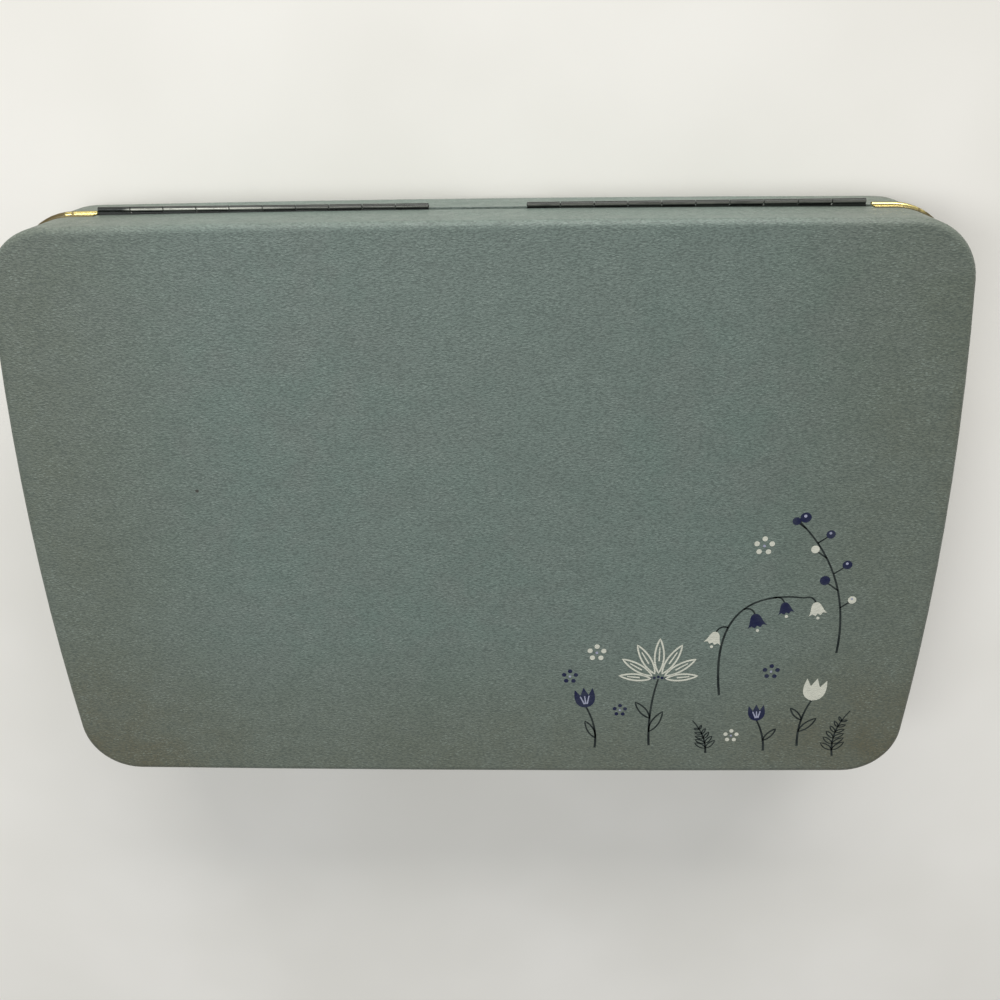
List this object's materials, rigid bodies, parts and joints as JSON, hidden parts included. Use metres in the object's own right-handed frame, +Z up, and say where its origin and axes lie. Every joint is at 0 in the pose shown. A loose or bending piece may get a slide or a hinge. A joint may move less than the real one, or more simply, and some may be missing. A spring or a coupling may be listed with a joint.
{
  "type": "jewelry case",
  "caption": "Flat hinged jewelry case, leatherette over board, with brass edges, dark piano hinges, a sliding latch and a lined tray that rises with the lid.",
  "frame": {"origin": "middle of the bottom face, under the centre of the outline", "axes": "+X along the hinges to the right, +Y to the hinge side, +Z up out of the lid"},
  "size_m": [0.282, 0.1886, 0.0495],
  "materials": {
    "leatherette": "fine pebbled grain, satin",
    "board": "raw board",
    "velvet_board": "board covered with velvet",
    "velvet": "short velvet pile",
    "satin": "satin weave",
    "felt": "felt",
    "brass_trim": "polished",
    "carriage_brass": "satin",
    "dark_hinge": "dark lacquer, glossy",
    "steel": "brushed"
  },
  "bodies": {
    "base": {"base_core": "board", "base_cover": "leatherette", "bottom_sheet": "felt", "base_lining": "velvet", "base_rim": "brass_trim", "base_divider_long": "velvet_board", "base_divider_left": "velvet_board", "base_divider_right": "velvet_board", "hinge_leaf_base_left": "dark_hinge", "hinge_leaf_base_right": "dark_hinge", "hinge_pin_left": "steel", "hinge_pin_right": "steel", "hinge_rivets_base": "steel", "arm_mount_left": "carriage_brass", "arm_mount_right": "carriage_brass", "lock_plate": "brass_trim", "lock_case": "steel"},
    "lid": {"lid_core": "board", "lid_cover": "leatherette", "lid_rim": "brass_trim", "lid_lining": "satin", "lid_pad": "satin", "hinge_leaf_lid_left": "dark_hinge", "hinge_leaf_lid_right": "dark_hinge", "hinge_rivets_lid": "steel", "lid_bracket_left": "carriage_brass", "lid_bracket_right": "carriage_brass", "lid_bracket_rivets": "carriage_brass", "lid_hook": "steel"},
    "tray": {"tray_shell": "velvet_board", "tray_lining": "velvet", "tray_divider_long": "velvet_board", "tray_divider_front_left": "velvet_board", "tray_divider_front_right": "velvet_board", "tray_divider_rear_left": "velvet_board", "tray_divider_rear_right": "velvet_board", "ring_rolls": "velvet", "tray_studs_left": "carriage_brass", "tray_studs_right": "carriage_brass"},
    "arm_left": {"tray_arm_left": "carriage_brass"},
    "arm_right": {"tray_arm_right": "carriage_brass"},
    "latch": {"latch_bolt": "steel", "latch_button": "brass_trim"}
  },
  "joints": [
    {"name": "lid_hinge", "type": "hinge", "parent": "base", "child": "lid", "pos_m": [0, 0.09255, 0.027], "axis": [-1, 0, 0], "range_deg": [0, 95]},
    {"name": "tray_hang", "type": "hinge", "parent": "lid", "child": "tray", "pos_m": [0, 0.06266, 0.02439], "axis": [-1, 0, 0], "range_deg": [-95, 0]},
    {"name": "arm_left_swing", "type": "hinge", "parent": "base", "child": "arm_left", "pos_m": [-0.1298, -0.00475, 0.0238], "axis": [-1, 0, 0], "range_deg": [0, 95]},
    {"name": "arm_right_swing", "type": "hinge", "parent": "base", "child": "arm_right", "pos_m": [0.1298, -0.00475, 0.0238], "axis": [-1, 0, 0], "range_deg": [0, 95]},
    {"name": "latch_slide", "type": "slide", "parent": "base", "child": "latch", "axis": [-1, 0, 0], "range_m": [0, 0.003]}
  ],
  "couplings": [
    {"joint": "tray_hang", "follows": "lid_hinge", "ratio": -1},
    {"joint": "arm_left_swing", "follows": "lid_hinge", "ratio": 1},
    {"joint": "arm_right_swing", "follows": "lid_hinge", "ratio": 1}
  ]
}
